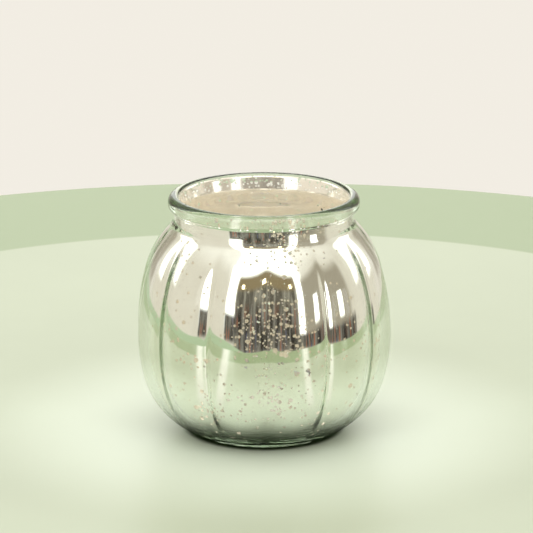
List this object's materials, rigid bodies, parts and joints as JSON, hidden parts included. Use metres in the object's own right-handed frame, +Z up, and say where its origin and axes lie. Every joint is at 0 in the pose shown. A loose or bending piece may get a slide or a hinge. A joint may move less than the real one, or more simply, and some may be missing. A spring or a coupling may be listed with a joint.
{
  "type": "tealight holder",
  "caption": "Round lobed glass jar with a mirror lining, short neck and rolled lip, holding a lift-out tealight.",
  "frame": {"origin": "centre of the foot, on the plane that the holder stands on", "axes": "+Z up along the jar's axis, out of its mouth; -Y towards the viewer, through a crease between two lobes"},
  "size_m": [0.0882, 0.0882, 0.0845],
  "materials": {
    "glass": "clear polished glass with a slight green tint",
    "silver": "mottled mirror coating with see-through flecks",
    "cup": "drawn foil",
    "wax": "cast white wax",
    "wick": "braided cotton dipped in wax",
    "sustainer": "tinned sheet"
  },
  "bodies": {
    "holder": {"glass_jar": "glass", "silver_lining": "silver"},
    "cup": {"tealight_cup": "cup"},
    "candle": {"tealight_wax": "wax", "wick": "wick", "wick_sustainer": "sustainer"}
  },
  "joints": [
    {"name": "tealight_lift", "type": "slide", "parent": "holder", "child": "cup", "axis": [0, 0, 1], "range_m": [0, 0.095]},
    {"name": "candle_lift", "type": "slide", "parent": "cup", "child": "candle", "axis": [0, 0, 1], "range_m": [0, 0.03]}
  ]
}
